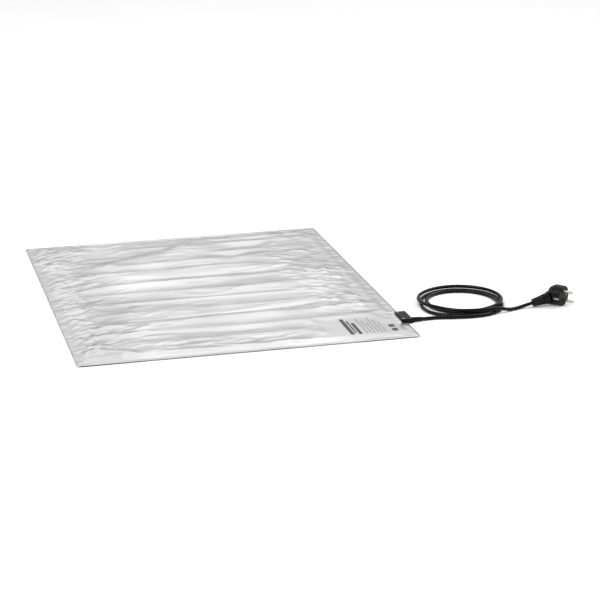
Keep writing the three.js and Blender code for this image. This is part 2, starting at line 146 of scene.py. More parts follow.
def coil_route():
    """Points of the three turns, in millimetres."""
    centre_x, centre_y = COIL_CENTRE
    span = LAST_ANGLE - FIRST_ANGLE
    count = round(span / 360 * POINTS_PER_TURN)
    route = []
    for i in range(count + 1):
        angle = FIRST_ANGLE + span * i / count
        radius = START_RADIUS
        radius += sum(out * bell(angle - middle, width) for middle, width, out in COIL_BULGES)
        radius += sum(out * ease(low, high, angle) for low, high, out in COIL_STEPS)
        height = ON_BENCH + (ON_TOP - ON_BENCH) * ease(600, 680, angle)
        turn = math.radians(angle)
        x = centre_x + radius * math.cos(turn)
        y = centre_y + OVAL * radius * math.sin(turn)
        route.append((x, y, height))
    return route


CORD_ROUTE = LEAD_ROUTE + coil_route() + TAIL_ROUTE
print("cord route points:", len(CORD_ROUTE))

# %% [markdown]
# ## From a route to a round cord
#
# A Bezier curve with automatic handles passes smoothly through every point, and
# its bevel gives the round section. It is then turned into a mesh, and the same
# curve without a bevel gives the line that the cord follows.

# %% Cord mesh


def curve_mesh(points, radius):
    """One smooth open line through points in millimetres, as a mesh."""
    data = bpy.data.curves.new("route", "CURVE")
    data.dimensions = "3D"
    data.bevel_depth = radius
    data.bevel_resolution = 7
    data.resolution_u = 5
    data.use_fill_caps = radius > 0.0
    spline = data.splines.new("BEZIER")
    spline.bezier_points.add(len(points) - 1)
    for knot, place in zip(spline.bezier_points, points):
        knot.co = Vector(place) * MM
        knot.handle_left_type = "AUTO"
        knot.handle_right_type = "AUTO"
    holder = bpy.data.objects.new("route", data)
    bpy.context.collection.objects.link(holder)
    graph = bpy.context.evaluated_depsgraph_get()
    mesh = bpy.data.meshes.new_from_object(holder.evaluated_get(graph))
    bpy.data.objects.remove(holder)
    return mesh


cord_line = [list(v.co) for v in curve_mesh(CORD_ROUTE, 0.0).vertices]
cord_mesh = curve_mesh(CORD_ROUTE, CORD_DIAMETER / 2)
cord_mesh.name = "mains_cord"
cord_mesh.shade_smooth()
cord = bpy.data.objects.new("mains_cord", cord_mesh)
bpy.context.collection.objects.link(cord)
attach(cord, "root")
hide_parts("cord_lead", "cord_coil", "cord_tail")
print("cord faces:", len(cord_mesh.polygons), "line points:", len(cord_line))

# %% [markdown]
# ## Material helpers
#
# Colours are written as the hex values that a paint chart gives, so one
# function turns them into the linear numbers that the renderer mixes. A second
# one adds a shader node with its settings and links. Node groups could hold
# whole finishes, but plain nodes are easier to read and export.

# %% Material helpers


def linear(hex_colour):
    """An sRGB hex colour such as 'D8DADC' as linear red, green, blue, alpha."""
    channels = []
    for i in (0, 2, 4):
        value = int(hex_colour[i:i + 2], 16) / 255.0
        channels.append(value / 12.92 if value <= 0.04045 else ((value + 0.055) / 1.055) ** 2.4)
    return (*channels, 1.0)


def add_node(tree, kind, inputs=None, **settings):
    """Adds a node; an input given as a socket is linked, and as a value is set."""
    made = tree.nodes.new(kind)
    for name, value in settings.items():
        setattr(made, name, value)
    for name, value in (inputs or {}).items():
        if isinstance(value, bpy.types.NodeSocket):
            tree.links.new(value, made.inputs[name])
        else:
            made.inputs[name].default_value = value
    return made


def new_material(name):
    """An empty material with its output and a shader that the caller fills in."""
    material = bpy.data.materials.new(name)
    material.use_nodes = True
    tree = material.node_tree
    tree.nodes.clear()
    shader = add_node(tree, "ShaderNodeBsdfPrincipled")
    add_node(tree, "ShaderNodeOutputMaterial", {"Surface": shader.outputs["BSDF"]})
    place = add_node(tree, "ShaderNodeTexCoord").outputs["Object"]
    return material, tree, shader, place


def lumps_of(size_mm):
    """The scale of a noise whose lumps are about size_mm across."""
    return 1.0 / (size_mm * MM)


print("material helpers ready")

# %% [markdown]
# ## Metallised film
#
# Polyester film with a thin coat of aluminium is not a mirror: the film is
# rolled satin, and it crumples when the mat is welded and folded for its box. To
# the eye it is a soft, pale metal with bright streaks. So the shader is a metal
# of medium roughness that drifts where hands have rubbed it, its colour carries
# painted shade that greys it towards the sides, where the crumples are, and two
# sizes of fine crinkle lie on the folds that are modelled. The crinkles are drawn
# a little coarser than real ones, so that they show.

# %% Metallised film


def metallised_film(name, crinkle_mm=0.16):
    """Satin metal film, duller in patches, with painted shade that greys it towards the crumples
    at its sides.
    """
    material, tree, shader, place = new_material(name)
    drift = add_node(tree, "ShaderNodeTexNoise", {
        "Vector": place, "Scale": lumps_of(140.0), "Detail": 1.0,
    }).outputs["Fac"]
    patches = add_node(tree, "ShaderNodeMapRange", {
        "Value": drift, "From Min": 0.3, "From Max": 0.7,
    }).outputs["Result"]
    coat = add_node(tree, "ShaderNodeMix", {
        "Factor": patches, "A": linear("DCDCDC"), "B": linear("F0F0F0"),
    }, data_type="RGBA").outputs["Result"]
    across = add_node(tree, "ShaderNodeSeparateXYZ", {"Vector": place}).outputs["X"]
    from_middle = add_node(tree, "ShaderNodeMath", {0: across}, operation="ABSOLUTE")
    # Painted shade: the colour greys towards both sides, where the crumples are, to make them look
    # darker.
    crumple_shade_mask = add_node(tree, "ShaderNodeMapRange", {
        "Value": from_middle.outputs["Value"], "From Min": 120.0 * MM, "From Max": 240.0 * MM,
    }, interpolation_type="SMOOTHSTEP").outputs["Result"]
    coat_with_painted_shade = add_node(tree, "ShaderNodeMix", {
        "Factor": crumple_shade_mask, "A": coat, "B": linear("EDEDED"),
    }, data_type="RGBA", blend_type="MULTIPLY").outputs["Result"]
    tree.links.new(coat_with_painted_shade, shader.inputs["Base Color"])
    shader.inputs["Metallic"].default_value = 0.92
    rubbed = add_node(tree, "ShaderNodeTexNoise", {
        "Vector": place, "Scale": lumps_of(55.0), "Detail": 2.0,
    }).outputs["Fac"]
    rough = add_node(tree, "ShaderNodeMapRange", {
        "Value": rubbed, "From Min": 0.3, "From Max": 0.7, "To Min": 0.22, "To Max": 0.32,
    }).outputs["Result"]
    tree.links.new(rough, shader.inputs["Roughness"])
    wide = add_node(tree, "ShaderNodeTexNoise", {
        "Vector": place, "Scale": lumps_of(16.0), "Detail": 4.0, "Roughness": 0.6,
        "Distortion": 0.8,
    }).outputs["Fac"]
    fine = add_node(tree, "ShaderNodeTexNoise", {
        "Vector": place, "Scale": lumps_of(4.5), "Detail": 3.0, "Roughness": 0.65,
        "Distortion": 1.2,
    }).outputs["Fac"]
    wide_crinkle = add_node(tree, "ShaderNodeBump", {
        "Height": wide, "Strength": 0.5, "Distance": 3.0 * crinkle_mm * MM,
    }).outputs["Normal"]
    crinkle = add_node(tree, "ShaderNodeBump", {
        "Height": fine, "Strength": 0.5, "Distance": crinkle_mm * MM, "Normal": wide_crinkle,
    }).outputs["Normal"]
    tree.links.new(crinkle, shader.inputs["Normal"])
    return material


film_material = metallised_film("metallised_polyester_film")
print("made", film_material.name)

# %% [markdown]
# ## Black plastics
#
# Four black plastics meet here, and what tells them apart is their sheen. One
# function makes them all, because they differ only in their colour, in how
# rough they are and in the size of their grain.

# %% Black plastics


def black_plastic(name, colour, rough_range, grain_mm, grain_depth_mm):
    """Moulded or drawn plastic: nearly black, with a sheen that drifts and a grain."""
    material, tree, shader, place = new_material(name)
    patch = add_node(tree, "ShaderNodeTexNoise", {
        "Vector": place, "Scale": lumps_of(9.0), "Detail": 2.0,
    }).outputs["Fac"]
    tint = add_node(tree, "ShaderNodeMix", {
        "Factor": patch, "A": linear(colour), "B": linear("0B0B0C"),
    }, data_type="RGBA").outputs["Result"]
    tree.links.new(tint, shader.inputs["Base Color"])
    sheen = add_node(tree, "ShaderNodeMapRange", {
        "Value": patch, "From Min": 0.3, "From Max": 0.7,
        "To Min": rough_range[0], "To Max": rough_range[1],
    }).outputs["Result"]
    tree.links.new(sheen, shader.inputs["Roughness"])
    shader.inputs["IOR"].default_value = 1.5
    shader.inputs["Specular IOR Level"].default_value = 0.16
    grain = add_node(tree, "ShaderNodeTexNoise", {
        "Vector": place, "Scale": lumps_of(grain_mm), "Detail": 2.0,
    }).outputs["Fac"]
    skin = add_node(tree, "ShaderNodeBump", {
        "Height": grain, "Strength": 0.6, "Distance": grain_depth_mm * MM,
    }).outputs["Normal"]
    tree.links.new(skin, shader.inputs["Normal"])
    return material


# ABS from a spark-eroded mould: an even grain that kills sharp highlights.
abs_material = black_plastic("moulded_abs_black", "080808", (0.36, 0.46), 0.7, 0.05)
# PVC drawn through a die: the glossiest, with long faint ripples.
flex_material = black_plastic("extruded_pvc_black", "050505", (0.2, 0.3), 5.0, 0.05)
# PVC moulded over the contacts: a little duller than the flex.
plug_material = black_plastic("moulded_pvc_black", "080809", (0.28, 0.38), 1.0, 0.04)
# Polyamide face plate: dull and slightly grey beside the body.
face_material = black_plastic("moulded_polyamide_grey_black", "1A1A1B", (0.42, 0.50), 0.8, 0.04)
cord_mesh.materials.append(flex_material)
print("made four black plastics")

# %% [markdown]
# ## Metals
#
# Turned and plated metal is a mirror that has been handled, so a fine noise
# moves its roughness up and down and barely dents its surface. A stronger bump
# would make the small pins look like cast lumps.

# %% Metals


def worn_metal(name, colour, rough_range, scratch_mm):
    """Bright metal with faint wear that dulls it here and there."""
    material, tree, shader, place = new_material(name)
    shader.inputs["Base Color"].default_value = linear(colour)
    shader.inputs["Metallic"].default_value = 1.0
    worn = add_node(tree, "ShaderNodeTexNoise", {
        "Vector": place, "Scale": lumps_of(scratch_mm), "Detail": 4.0, "Roughness": 0.7,
    }).outputs["Fac"]
    rough = add_node(tree, "ShaderNodeMapRange", {
        "Value": worn, "From Min": 0.3, "From Max": 0.7,
        "To Min": rough_range[0], "To Max": rough_range[1],
    }).outputs["Result"]
    tree.links.new(rough, shader.inputs["Roughness"])
    scratches = add_node(tree, "ShaderNodeBump", {
        "Height": worn, "Strength": 0.25, "Distance": 0.008 * MM,
    }).outputs["Normal"]
    tree.links.new(scratches, shader.inputs["Normal"])
    return material


# Brass pins under bright nickel: clear reflections that break up at the wear.
nickel_material = worn_metal("nickel_plated_brass", "9C9996", (0.16, 0.32), 1.5)
# Pressed aluminium: pale and satin, so the rivet heads show as light dots.
rivet_material = worn_metal("pressed_aluminium", "B8BABD", (0.34, 0.48), 2.0)
# Drawn resistance alloy: a warm grey wire.
alloy_material = worn_metal("drawn_resistance_alloy", "A39E96", (0.35, 0.5), 1.0)
print("made three metals")

# %% [markdown]
# ## Finishes of the pieces that are sealed in
#
# The heating wire, its tapes and the cord's cores only show when someone takes
# the mat apart, so one matt finish in their true colours is enough. The
# printing ink uses it too: screen ink dries flat and hides the film's shine.

# %% Matt finishes


def matt_finish(name, colour, rough, grain_mm):
    """A matt coloured finish, a little darker in the hollows of its grain."""
    material, tree, shader, place = new_material(name)
    grain = add_node(tree, "ShaderNodeTexNoise", {
        "Vector": place, "Scale": lumps_of(grain_mm), "Detail": 2.0,
    }).outputs["Fac"]
    darker = [0.8 * channel for channel in linear(colour)[:3]] + [1.0]
    tint = add_node(tree, "ShaderNodeMix", {
        "Factor": grain, "A": linear(colour), "B": darker,
    }, data_type="RGBA").outputs["Result"]
    tree.links.new(tint, shader.inputs["Base Color"])
    shader.inputs["Roughness"].default_value = rough
    skin = add_node(tree, "ShaderNodeBump", {
        "Height": grain, "Strength": 0.5, "Distance": 0.03 * MM,
    }).outputs["Normal"]
    tree.links.new(skin, shader.inputs["Normal"])
    return material


silicone_material = matt_finish("silicone_rubber_red", "9C3A2C", 0.6, 2.0)
tape_material = matt_finish("glass_cloth_tape", "C9C3B2", 0.75, 0.8)
brown_material = matt_finish("pvc_insulation_brown", "5E361D", 0.45, 1.5)
blue_material = matt_finish("pvc_insulation_blue", "2851A6", 0.45, 1.5)
earth_material = matt_finish("pvc_insulation_green_yellow", "9FB52C", 0.45, 1.5)
ink_material = matt_finish("screen_print_ink_dark", "3A3A3C", 0.55, 1.2)
faint_ink_material = matt_finish("screen_print_ink_faint", "8E8E8E", 0.55, 1.2)
print("made seven matt finishes")

# %% Finishes on the model's own pieces
KEPT_PIECES = {
    "heating_wire_jacket": silicone_material,
    "heating_wire_core": alloy_material,
    "wire_tape_left": tape_material,
    "wire_tape_middle": tape_material,
    "wire_tape_right": tape_material,
    "junction_rivet_front": rivet_material,
    "junction_rivet_back": rivet_material,
    "earth_lug": nickel_material,
    "crimp_splice_live": nickel_material,
    "crimp_splice_neutral": nickel_material,
    "splice_sleeve_live": plug_material,
    "splice_sleeve_neutral": plug_material,
    "core_live": brown_material,
    "core_neutral": blue_material,
    "core_earth": earth_material,
}
for node_name, material in KEPT_PIECES.items():
    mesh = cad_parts[node_name].data
    mesh.materials.clear()
    mesh.materials.append(material)
print("finished", len(KEPT_PIECES), "kept pieces")

# %% [markdown]
# ## From a bmesh to a piece of the mat
#
# Pieces are made in bmesh, which has the modelling operators but no place in
# the scene. One function turns a finished bmesh into an object, rides it on the
# mat's only body and says which finish it has, so no piece is forgotten.

# %% Making a piece


def to_piece(name, mesh_builder, material, replaced=(), smooth=True):
    """Makes the finished bmesh an object of the mat."""
    mesh = bpy.data.meshes.new(name)
    bmesh.ops.recalc_face_normals(mesh_builder, faces=mesh_builder.faces)
    mesh_builder.to_mesh(mesh)
    mesh_builder.free()
    mesh.materials.append(material)
    if smooth:
        mesh.shade_smooth()
    piece = bpy.data.objects.new(name, mesh)
    bpy.context.collection.objects.link(piece)
    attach(piece, "root")
    if replaced:
        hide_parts(*replaced)
    return piece


print("piece helper ready")

# %% [markdown]
# ## How high the film lies
#
# The folded sheet could be simulated as cloth, but stiff thin film on a flat bed
# hardly moves, and its folds would not fall where they should. The film is one
# height over every point of the mat, so the whole sheet is worked out as a
# height field before any mesh exists. It is built up in layers: the crest over
# each run of wire, long folds that the sheet took when it was laid, short
# puckers that fan out from the welded edges, and the flat welded hem. The
# crests are a floor for the rest, so the wire never shows through.

# %% Levels of the film, in millimetres
HALF_WIDTH = 300.0
HALF_DEPTH = 375.0
HEM = 11.0
HEM_LEVEL = 1.7
LOWEST_LEVEL = 1.3
COVER_LEVEL = 4.0
VALLEY_LEVEL = 3.4
CREST_LEVEL = 5.0
BLOCK_FILM_LEVEL = 5.2
LOWEST_HEM = 0.75
WELD_WIDTH = 1.5
CURL_WIDTH = 2.4
WIRE_HALF_WIDTH = 1.5
FULL_RUNS = [-172.0 + 60.0 * i for i in range(9)]
RUN_SHOWS = [1.0, 0.25, 0.5, 0.3, 1.0, 0.45, 0.6, 0.1, 0.25]
print("film lies from", LOWEST_LEVEL, "to", CREST_LEVEL, "mm, more in its folds")

# %% Distance to a line


def segment_distance(x, y, start, end):
    """Distance to a line from start to end, how far along it, and the side."""
    (x0, y0), (x1, y1) = start, end
    dx, dy = x1 - x0, y1 - y0
    length = math.hypot(dx, dy)
    along = ((x - x0) * dx + (y - y0) * dy) / (length * length)
    held = np.clip(along, 0.0, 1.0)
    away = np.hypot(x - x0 - held * dx, y - y0 - held * dy)
    side = ((y - y0) * dx - (x - x0) * dy) / length
    return away, held, side


above_line = segment_distance(np.array([5.0]), np.array([3.0]), (0.0, 0.0), (10.0, 0.0))
print("a point above a line is", above_line[0][0], "mm from it")

# %% Wire runs under the film
LEFT_TURN, RIGHT_TURN = -281.0, 250.0
RETURN_X = 276.0
BEND = 26.0
SPLICE_RUN, FRONT_RUN, EDGE_RUN = -232.0, -288.0, -342.0
SPLICE_RUN_LEFT = -237.0
FRONT_RUN_RIGHT = 104.0
TO_BACK_SPLICE = [
    (SPLICE_RUN_LEFT, SPLICE_RUN), (240.0, SPLICE_RUN), (258.0, -250.0), (262.0, -270.0),
    (300.0, -270.0),
]
TO_FRONT_SPLICE = [(RETURN_X, 282.0), (RETURN_X, -245.0), (284.0, -256.0), (300.0, -257.0)]


def rounded_turn(from_x, far_x, y0, y1):
    """A U of wire: out to far_x at y0, along, and back at y1."""
    reach = abs(far_x - from_x)
    up = 1.0 if y1 > y0 else -1.0
    sign = 1.0 if far_x > from_x else -1.0
    cut_y = reach * (1.0 - math.sqrt(0.5))
    cut_x = far_x - sign * cut_y
    points = [
        (from_x, y0), (cut_x, y0 + up * cut_y), (far_x, y0 + up * reach),
        (far_x, y1 - up * reach), (cut_x, y1 - up * cut_y), (from_x, y1),
    ]
    return list(zip(points, points[1:]))


def wire_segments():
    """The straight runs and the turns between them, as short lines."""
    lines = []
    last = len(FULL_RUNS) - 1
    for i, y in enumerate(FULL_RUNS):
        left = LEFT_TURN + BEND
        right = (RETURN_X if i == last else RIGHT_TURN) - BEND
        lines.append(((left, y), (right, y)))
        if i < last:
            corner_x, turn_x = (right, RIGHT_TURN) if i % 2 == 0 else (left, LEFT_TURN)
            lines += rounded_turn(corner_x, turn_x, y, FULL_RUNS[i + 1])
    lines += rounded_turn(RETURN_X - BEND, RETURN_X, FULL_RUNS[-1], -257.0)[:3]
    for route in (TO_BACK_SPLICE, TO_FRONT_SPLICE):
        lines += list(zip(route, route[1:]))
    lines += rounded_turn(SPLICE_RUN_LEFT, SPLICE_RUN_LEFT - BEND, SPLICE_RUN, FRONT_RUN)
    lines += [((SPLICE_RUN_LEFT, FRONT_RUN), (FRONT_RUN_RIGHT, FRONT_RUN))]
    lines += rounded_turn(FRONT_RUN_RIGHT, FRONT_RUN_RIGHT + BEND, FRONT_RUN, EDGE_RUN)
    lines += [((FRONT_RUN_RIGHT, EDGE_RUN), (LEFT_TURN + BEND, EDGE_RUN))]
    lines += rounded_turn(LEFT_TURN + BEND, LEFT_TURN, EDGE_RUN, FULL_RUNS[0])
    return lines


WIRE_LINES = wire_segments()
print("wire laid as", len(WIRE_LINES), "lines")

# %% [markdown]
# ## Folds placed one by one
#
# A real fold has one steep side and one slack side, and it dies out at both
# ends. Each is a line of a few points with a width on either side, and a height
# that is negative for a valley. The big ones give this mat its character, so
# they are placed one by one.

# %% Folds placed one by one
# Each fold: its line, its half-width in front and behind, and its height.
LONG_FOLDS = [
    ([(-290, 14), (-232, 40), (-180, 58), (-100, 63), (0, 62), (78, 70)], 15, 6, 3.46),
    ([(-210, 82), (-120, 84), (0, 80), (90, 92)], 8, 12, -1.34),
    ([(-195, 178), (-60, 190), (60, 204), (150, 210), (250, 206)], 16, 8, 1.5),
    ([(-215, 180), (-120, 222), (-30, 262), (50, 352)], 46, 14, 4.4),
    ([(60, 175), (120, 255), (195, 335)], 12, 30, -2.8),
    ([(-70, 138), (20, 148), (150, 146)], 15, 8, 1.8),
    ([(-190, 112), (-80, 96), (60, 92), (190, 88)], 7, 10, -1.2),
    ([(-125, 0), (-20, 4), (80, -2), (190, 4)], 15, 8, 1.34),
    ([(-130, -45), (0, -52), (120, -40)], 12, 9, -0.9),
    ([(-215, -164), (-120, -166), (0, -156), (75, -150), (205, -128)], 9, 5, -2.4),
    ([(-205, -196), (-120, -182), (0, -174), (90, -174), (150, -168)], 24, 5, 2.26),
    ([(-280, -208), (-215, -184), (-180, -178)], 8, 5, 2.26),
    ([(-190, -236), (-60, -246), (40, -240), (120, -238)], 7, 10, -1.34),
    ([(-200, -322), (-110, -318), (-15, -310)], 12, 6, 1.8),
    ([(-200, -344), (-60, -350), (60, -352), (150, -346)], 9, 6, 1.5),
    ([(-288, -330), (-262, -316), (-226, -322), (-190, -342)], 7, 5, 3.3),
    ([(-278, -352), (-245, -356), (-210, -350)], 7, 5, 3.4),
    ([(-225, 305), (-228, 240), (-240, 190), (-247, 120), (-246, 60)], 6, 5, -1.66),
    ([(-205, 300), (-185, 340), (-160, 365)], 12, 10, 1.5),
    ([(-245, 300), (-226, 305), (-215, 330)], 6, 8, 1.34),
    ([(266, 300), (268, 190), (264, 60), (263, -60), (266, -190)], 9, 9, -1.94),
    ([(205, 214), (226, 206), (244, 212)], 7, 6, 1.94),
    ([(200, 45), (222, 40), (246, 52)], 7, 6, 2.4),
    ([(232, -205), (241, -180), (250, -160)], 6, 7, 2.4),
    ([(130, -225), (140, -262), (138, -330)], 6, 6, 1.2),
    ([(150, -240), (158, -300), (154, -348)], 5, 6, 1.06),
    ([(160, -175), (200, -172), (240, -178)], 12, 6, 1.34),
    ([(-150, -60), (-165, -110), (-170, -150)], 5, 6, 1.34),
    ([(175, 30), (178, 80), (200, 115)], 9, 9, 1.2),
]


def fold_field(x, y, line, front, behind, height):
    """One fold: a crest that fades at both ends and is steeper on one side."""
    lengths = [math.dist(a, b) for a, b in zip(line, line[1:])]
    total = sum(lengths)
    nearest = np.full(x.shape, 1e9)
    place = np.zeros(x.shape)
    flank = np.zeros(x.shape)
    passed = 0.0
    for (start, end), length in zip(zip(line, line[1:]), lengths):
        away, held, side = segment_distance(x, y, start, end)
        closer = away < nearest
        nearest = np.where(closer, away, nearest)
        place = np.where(closer, (passed + held * length) / total, place)
        flank = np.where(closer, side, flank)
        passed += length
    blend = ease(-6.0, 6.0, flank)
    width = front * (1.0 - blend) + behind * blend
    fade = ease(0.0, 0.22, place) * (1.0 - ease(0.78, 1.0, place))
    return height * fade / np.cosh(nearest / width * 1.25)


print("long folds:", len(LONG_FOLDS))

# %% [markdown]
# ## Puckers
#
# Welding shrinks the edge, so short creases run in from it, and the film over
# the wire's turns crumples. There are too many to place by hand. A seeded
# generator draws them, region by region, each with its own lean and length.

# %% Puckers drawn by a seeded generator
# Region: x from, x to, y from, y to, count, lean in degrees, length, width, height.
PUCKER_REGIONS = [
    (-290, -250, -340, 355, 80, 32, 46, 2.6, 1.15),
    (-262, -205, -310, 345, 64, 28, 50, 3.2, 0.85),
    (-205, -120, -340, 330, 46, 16, 60, 4.6, 0.5),
    (-120, 160, -350, 340, 60, 3, 110, 6.5, 0.34),
    (150, 262, -200, 330, 80, -26, 36, 3.6, 0.6),
    (190, 262, -170, 80, 60, -36, 26, 2.8, 0.8),
    (250, 288, -190, 340, 46, 76, 34, 2.8, 0.6),
    (-280, 140, -362, -300, 50, 6, 56, 3.4, 0.5),
    (-280, 260, 330, 362, 40, 4, 50, 4.0, 0.45),
]


def draw_puckers(seed=7):
    """Short bowed folds for every region, the same ones on each run."""
    random = np.random.default_rng(seed)
    folds = []
    for x0, x1, y0, y1, count, lean, length, width, height in PUCKER_REGIONS:
        for _ in range(count):
            x = random.uniform(x0, x1)
            y = random.uniform(y0, y1)
            angle = math.radians(random.normal(lean, 13.0))
            reach = length * random.uniform(0.5, 1.25)
            bow = random.normal(0.0, 0.08) * reach
            step = (math.cos(angle) * reach / 2, math.sin(angle) * reach / 2)
            sign = 1.0 if random.random() < 0.72 else -0.8
            middle = (x - bow * math.sin(angle), y + bow * math.cos(angle))
            folds.append((
                [(x - step[0], y - step[1]), middle, (x + step[0], y + step[1])],
                width * random.uniform(0.7, 1.3),
                width * random.uniform(0.5, 1.0),
                sign * height * random.uniform(0.8, 2.0),
            ))
    return folds


PUCKERS = draw_puckers()
print("puckers:", len(PUCKERS))

# %% [markdown]
# ## Fine wrinkles
#
# Between the folds the film is never smooth. A value noise on a coarse lattice,
# folded at its middle value, gives sharp crests that run in one direction. The
# two ends of the mat lean opposite ways and are rougher than its middle.

# %% Fine wrinkles


def smooth_noise(x, y, size_x, size_y, seed):
    """Seeded noise from 0 to 1 on a lattice of the given spacing in millimetres."""
    lattice = np.random.default_rng(seed).random((260, 260))
    u = x / size_x + 90.0
    v = y / size_y + 110.0
    i, j = np.floor(u).astype(int), np.floor(v).astype(int)
    s, t = u - i, v - j
    s, t = s * s * (3.0 - 2.0 * s), t * t * (3.0 - 2.0 * t)
    near = lattice[i, j] * (1.0 - s) + lattice[i + 1, j] * s
    far = lattice[i, j + 1] * (1.0 - s) + lattice[i + 1, j + 1] * s
    return near * (1.0 - t) + far * t


def creases(x, y, size_x, size_y, lean, seed):
    """Sharp-crested wrinkles that run in one direction, bent by slower noise."""
    turn = math.radians(lean)
    along = x * math.cos(turn) + y * math.sin(turn)
    across = y * math.cos(turn) - x * math.sin(turn)
    drift = smooth_noise(along, across, size_x * 0.8, size_y * 3.0, seed + 1)
    across = across + 1.1 * size_y * drift
    value = smooth_noise(along, across, size_x, size_y, seed)
    return 1.0 - np.abs(2.0 * value - 1.0)


def fine_wrinkles(x, y):
    """Wrinkle height in millimetres, rough at both ends and calm between them."""
    left = 1.0 - ease(-262, -170, x)
    right = ease(120, 225, x)
    middle = (1.0 - left) * (1.0 - right)
    calm = 0.25 + 0.75 * smooth_noise(x, y, 80, 60, 91)
    y = y + 10.0 * smooth_noise(x, y, 130, 90, 95)
    height = 0.34 * creases(x, y, 120, 18, 3, 11) + 0.1 * creases(x, y, 55, 9, 5, 21)
    height *= middle * calm
    height += left * (1.2 * creases(x, y, 34, 13, 36, 31) + 0.6 * creases(x, y, 20, 7, 30, 41))
    height += right * (0.9 * creases(x, y, 34, 13, -24, 51) + 0.42 * creases(x, y, 18, 7, -34, 61))
    return 1.25 * height - 0.5


PROBE_X, PROBE_Y = np.array([0.0, -270.0]), np.array([5.0, 60.0])
print("wrinkles in the middle and at the left:", np.round(fine_wrinkles(PROBE_X, PROBE_Y), 2))

# %% [markdown]
# ## Where the film is held
#
# Three things hold the sheet: the flat corner that was pressed for printing,
# the block that clamps it, and the weld round its rim. Each is a mask or a
# height of its own, so that the last step only has to mix them.

# %% Held places


def printed_field(x, y):
    """1 on the flat corner that carries the print, and 0 away from it."""
    return ease(140, 165, x) * (1.0 - ease(-245, -222, y))


def block_rise(x, y):
    """1 where the film climbs into the seam of the junction block."""
    return ease(279, 290, x) * ease(-297, -292, y) * (1.0 - ease(-251, -246, y))


def swell(x, y):
    """Slow rises and hollows, of wavelengths that never line up."""
    waves = 0.55 * np.sin(x / 83.0 + 0.7) * np.sin(y / 71.0 + 1.9)
    waves += 0.45 * np.sin(x / 47.0 - y / 129.0 + 2.2)
    waves += 0.35 * np.sin(y / 33.0 + x / 151.0)
    waves += 2.6 * smooth_noise(x + 0.6 * y, y, 150, 62, 97) - 1.3
    return waves


def wire_distance(x, y):
    """How far each point lies from the nearest wire, in millimetres."""
    nearest = np.full(x.shape, 1e9)
    for start, end in WIRE_LINES:
        nearest = np.minimum(nearest, segment_distance(x, y, start, end)[0])
    return nearest


def welded_hem(x, y, to_edge):
    """The flat rim, with two weld lines pressed into it and a curled edge."""
    hem = HEM_LEVEL + 0.8 * smooth_noise(x, y, 11, 11, 81) * ease(0.0, 5.0, to_edge)
    hem += 0.8 * fine_wrinkles(x, y) * ease(1.0, 7.0, to_edge)
    hem -= 0.4 * bell(to_edge - HEM, WELD_WIDTH) + 0.25 * bell(to_edge - 5.0, WELD_WIDTH)
    hem += 0.8 * bell(to_edge, CURL_WIDTH)
    return np.maximum(hem, LOWEST_HEM)


print("held places ready")

# %% The film's height
CREST_WIDTH = 15.0
SHARPNESS = 4.0


def film_height(x, y):
    """Top of the film in millimetres over points of the mat."""
    folds = np.zeros(x.shape)
    for line, front, behind, height in LONG_FOLDS + PUCKERS:
        folds += fold_field(x, y, line, front, behind, height)
    wire = wire_distance(x, y)
    tautness = np.interp(y, FULL_RUNS, RUN_SHOWS)
    tautness = tautness * (0.4 + 0.6 * smooth_noise(x, y, 110, 45, 71))
    crest = tautness * (CREST_LEVEL - VALLEY_LEVEL) * bell(wire, CREST_WIDTH)
    flat = 1.0 - 0.95 * printed_field(x, y)
    loose = VALLEY_LEVEL + crest + (0.5 * swell(x, y) + folds + fine_wrinkles(x, y)) * flat
    loose = np.maximum(loose, LOWEST_LEVEL)
    # A soft maximum: the sheet rides over the wire without a kink.
    beside_wire = np.maximum(wire - WIRE_HALF_WIDTH, 0.0)
    over_wire = COVER_LEVEL - 0.1 * beside_wire
    body = np.logaddexp(SHARPNESS * loose, SHARPNESS * over_wire) / SHARPNESS
    to_edge = np.minimum(HALF_WIDTH - np.abs(x), HALF_DEPTH - np.abs(y))
    inside = ease(-1.0, 15.0, HALF_WIDTH - HEM - np.abs(x))
    inside = inside * ease(-1.0, 24.0, HALF_DEPTH - HEM - np.abs(y))
    film = welded_hem(x, y, to_edge) * (1.0 - inside) + body * inside
    film = np.maximum(film, COVER_LEVEL - 0.42 * beside_wire)
    rise = block_rise(x, y)
    return film * (1.0 - rise) + BLOCK_FILM_LEVEL * rise


print("film in the middle and at the left:", np.round(film_height(PROBE_X, PROBE_Y), 2))

# %% [markdown]
# ## The top film
#
# The sheet starts as a flat grid from bmesh, finer across the folds than along
# them, because most folds run from side to side. Its vertices then rise to the
# height field. A Solidify modifier gives the sheet its thickness downwards.

# %% Making a sheet
FILM_THICKNESS = 0.3


def film_grid(cell_x, cell_y):
    """A flat grid of the mat's outline, with cells of a size in millimetres."""
    made = bmesh.new()
    columns = round(2.0 * HALF_WIDTH / cell_x)
    rows = round(2.0 * HALF_DEPTH / cell_y)
    bmesh.ops.create_grid(made, x_segments=columns, y_segments=rows, size=1.0)
    for vertex in made.verts:
        vertex.co.x *= HALF_WIDTH
        vertex.co.y *= HALF_DEPTH
    return made


def raise_film(made, height_of, offset=0.0):
    """Lifts every vertex to the height field and turns millimetres to metres."""
    made.verts.ensure_lookup_table()
    x = np.array([v.co.x for v in made.verts])
    y = np.array([v.co.y for v in made.verts])
    z = height_of(x, y) + offset
    for vertex, height in zip(made.verts, z):
        vertex.co = Vector((vertex.co.x, vertex.co.y, height)) * MM


def notch_for_block(made):
    """Takes away the faces inside the block, where the wires come out."""
    low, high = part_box("junction_base")
    inner_x = low.x / MM + 2.5
    gone = [
        face for face in made.faces
        if face.calc_center_median().x > inner_x
        and low.y / MM + 3.0 < face.calc_center_median().y < high.y / MM - 3.0
    ]
    bmesh.ops.delete(made, geom=gone, context="FACES")


